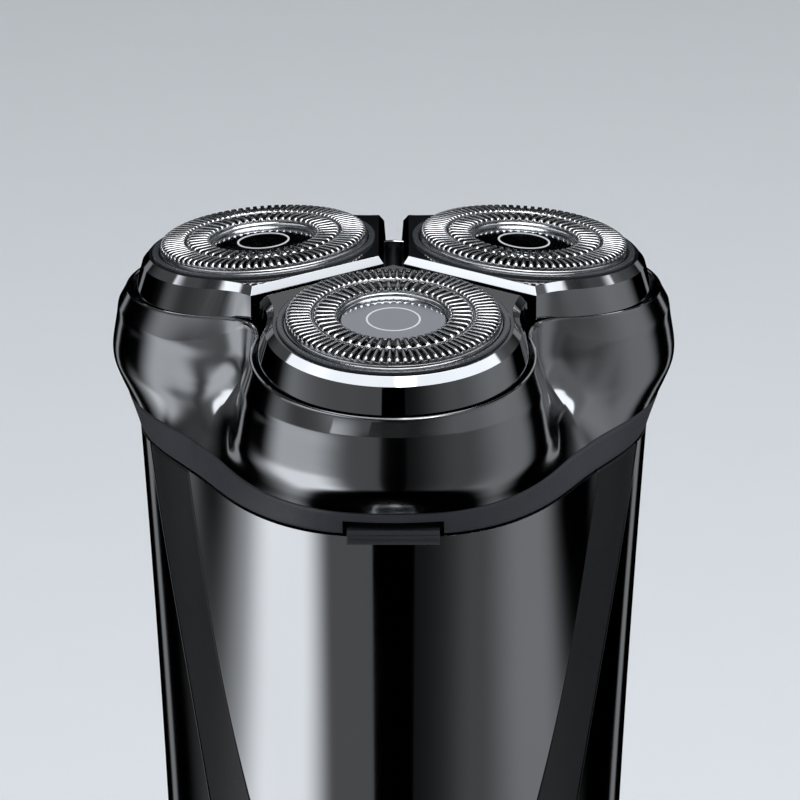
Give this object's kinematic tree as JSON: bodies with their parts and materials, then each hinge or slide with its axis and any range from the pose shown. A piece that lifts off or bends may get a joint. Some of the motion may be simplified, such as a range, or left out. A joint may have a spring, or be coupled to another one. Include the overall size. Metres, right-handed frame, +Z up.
{
  "type": "electric shaver",
  "caption": "Rotary electric shaver: hinged lobed head with tilting cutter pods, tapered handle with grip strips, power button and charging socket.",
  "frame": {"origin": "centre of the round base, in the mouth of the charging inlet, level with the surface it stands on", "axes": "+Z up along the handle to the cutters, front panel and button face -Y, +X to the right seen from the front"},
  "size_m": [0.0626, 0.06, 0.1565],
  "materials": {
    "handle_gloss": "gloss gunmetal lacquer",
    "panel_gloss": "gloss gunmetal lacquer",
    "grip_satin": "satin moulded grip",
    "shell_gloss": "gloss gunmetal lacquer",
    "rim_matte": "matte charcoal",
    "pod_gloss": "piano black",
    "guard_steel": "polished slotted steel",
    "cap_dark": "polished dark cap",
    "seat_clear": "smoked clear ring",
    "cutter_steel": "ground steel",
    "inner_plastic": "moulded inner plastic",
    "inner_metal": "zinc plated",
    "gear_plastic": "acetal",
    "spring_steel": "bright wire",
    "seal_rubber": "soft seal",
    "motor_can": "drawn can",
    "battery_wrap": "shrink wrap",
    "board_green": "solder mask",
    "lens_white": "frosted lens",
    "bezel_chrome": "polished trim",
    "base_matte": "fine textured"
  },
  "bodies": {
    "root": {"rear_shell": "handle_gloss", "front_panel": "panel_gloss", "left_grip": "grip_satin", "right_grip": "grip_satin", "base_cap": "base_matte", "top_deck": "inner_plastic", "deck_seal": "seal_rubber", "deck_screws": "inner_metal", "chassis": "inner_plastic", "motor": "motor_can", "battery": "battery_wrap", "circuit_board": "board_green", "power_switch": "inner_plastic", "button_bezel": "bezel_chrome", "indicator_lens": "lens_white", "charging_socket": "inner_metal", "hinge_handle_leaf": "rim_matte", "hinge_pin": "inner_metal"},
    "button": {"power_button": "pod_gloss"},
    "pinion": {"drive_pinion": "inner_metal"},
    "head": {"head_shell": "shell_gloss", "head_rim": "rim_matte", "hinge_head_leaf": "rim_matte", "head_frame": "inner_plastic", "retaining_plate": "inner_metal", "catch_pin": "inner_metal", "catch_spring": "spring_steel", "pod_hinge_pins": "inner_metal"},
    "knob": {"lock_knob": "inner_plastic"},
    "latch": {"catch": "rim_matte"},
    "gear_1": {"drive_gear_1": "gear_plastic", "spindle_spring_1": "spring_steel"},
    "drive_spindle_1": {"spindle_1": "inner_metal"},
    "tilting_pod_1": {"pod_1": "pod_gloss", "guard_1": "guard_steel", "guard_cap_1": "cap_dark", "seat_ring_1": "seat_clear"},
    "rotor_1": {"cutter_1": "cutter_steel"},
    "gear_2": {"drive_gear_2": "gear_plastic", "spindle_spring_2": "spring_steel"},
    "drive_spindle_2": {"spindle_2": "inner_metal"},
    "tilting_pod_2": {"pod_2": "pod_gloss", "guard_2": "guard_steel", "guard_cap_2": "cap_dark", "seat_ring_2": "seat_clear"},
    "rotor_2": {"cutter_2": "cutter_steel"},
    "gear_3": {"drive_gear_3": "gear_plastic", "spindle_spring_3": "spring_steel"},
    "drive_spindle_3": {"spindle_3": "inner_metal"},
    "tilting_pod_3": {"pod_3": "pod_gloss", "guard_3": "guard_steel", "guard_cap_3": "cap_dark", "seat_ring_3": "seat_clear"},
    "rotor_3": {"cutter_3": "cutter_steel"}
  },
  "joints": [
    {"name": "head_hinge", "type": "hinge", "parent": "root", "child": "head", "pos_m": [0, 0.025, 0.135], "axis": [-1, 0, 0], "range_deg": [0, 100]},
    {"name": "catch_release", "type": "hinge", "parent": "head", "child": "latch", "pos_m": [0, -0.0248, 0.1366], "axis": [-1, 0, 0], "range_deg": [0, 6], "stiffness_Nm_per_rad": 0.01},
    {"name": "plate_lock", "type": "hinge", "parent": "head", "child": "knob", "pos_m": [0, 0, 0.143], "axis": [0, 0, 1], "range_deg": [0, 60]},
    {"name": "button_press", "type": "slide", "parent": "root", "child": "button", "axis": [0, 1, 0], "range_m": [0, 0.0006], "stiffness_N_per_m": 1500},
    {"name": "motor_spin", "type": "hinge", "parent": "root", "child": "pinion", "pos_m": [0, 0, 0.118], "axis": [0, 0, 1], "continuous": true},
    {"name": "gear_spin_1", "type": "hinge", "parent": "root", "child": "gear_1", "pos_m": [0, -0.0159, 0.118], "axis": [0, 0, 1], "continuous": true},
    {"name": "spindle_slide_1", "type": "slide", "parent": "gear_1", "child": "drive_spindle_1", "axis": [0, 0, 1], "range_m": [-0.001, 0], "stiffness_N_per_m": 150, "deforming": ["spindle_spring_1"]},
    {"name": "pod_tilt_1", "type": "hinge", "parent": "head", "child": "tilting_pod_1", "pos_m": [0, -0.02719, 0.14916], "axis": [-1, 0, 0], "range_deg": [0, 3], "stiffness_Nm_per_rad": 0.2},
    {"name": "cutter_spin_1", "type": "hinge", "parent": "tilting_pod_1", "child": "rotor_1", "pos_m": [0, -0.0167, 0.1555], "axis": [0, -0.0872, 0.9962], "continuous": true},
    {"name": "gear_spin_2", "type": "hinge", "parent": "root", "child": "gear_2", "pos_m": [0.01377, 0.00795, 0.118], "axis": [0, 0, 1], "continuous": true},
    {"name": "spindle_slide_2", "type": "slide", "parent": "gear_2", "child": "drive_spindle_2", "axis": [0, 0, 1], "range_m": [-0.001, 0], "stiffness_N_per_m": 150, "deforming": ["spindle_spring_2"]},
    {"name": "pod_tilt_2", "type": "hinge", "parent": "head", "child": "tilting_pod_2", "pos_m": [0.02354, 0.01359, 0.14916], "axis": [0.5, -0.866, 0], "range_deg": [0, 3], "stiffness_Nm_per_rad": 0.2},
    {"name": "cutter_spin_2", "type": "hinge", "parent": "tilting_pod_2", "child": "rotor_2", "pos_m": [0.01446, 0.00835, 0.1555], "axis": [0.0755, 0.0436, 0.9962], "continuous": true},
    {"name": "gear_spin_3", "type": "hinge", "parent": "root", "child": "gear_3", "pos_m": [-0.01377, 0.00795, 0.118], "axis": [0, 0, 1], "continuous": true},
    {"name": "spindle_slide_3", "type": "slide", "parent": "gear_3", "child": "drive_spindle_3", "axis": [0, 0, 1], "range_m": [-0.001, 0], "stiffness_N_per_m": 150, "deforming": ["spindle_spring_3"]},
    {"name": "pod_tilt_3", "type": "hinge", "parent": "head", "child": "tilting_pod_3", "pos_m": [-0.02354, 0.01359, 0.14916], "axis": [0.5, 0.866, 0], "range_deg": [0, 3], "stiffness_Nm_per_rad": 0.2},
    {"name": "cutter_spin_3", "type": "hinge", "parent": "tilting_pod_3", "child": "rotor_3", "pos_m": [-0.01446, 0.00835, 0.1555], "axis": [-0.0755, 0.0436, 0.9962], "continuous": true}
  ],
  "couplings": [
    {"joint": "gear_spin_1", "follows": "motor_spin", "ratio": -0.875},
    {"joint": "cutter_spin_1", "follows": "motor_spin", "ratio": -0.875},
    {"joint": "gear_spin_2", "follows": "motor_spin", "ratio": -0.875},
    {"joint": "cutter_spin_2", "follows": "motor_spin", "ratio": -0.875},
    {"joint": "gear_spin_3", "follows": "motor_spin", "ratio": -0.875},
    {"joint": "cutter_spin_3", "follows": "motor_spin", "ratio": -0.875}
  ]
}
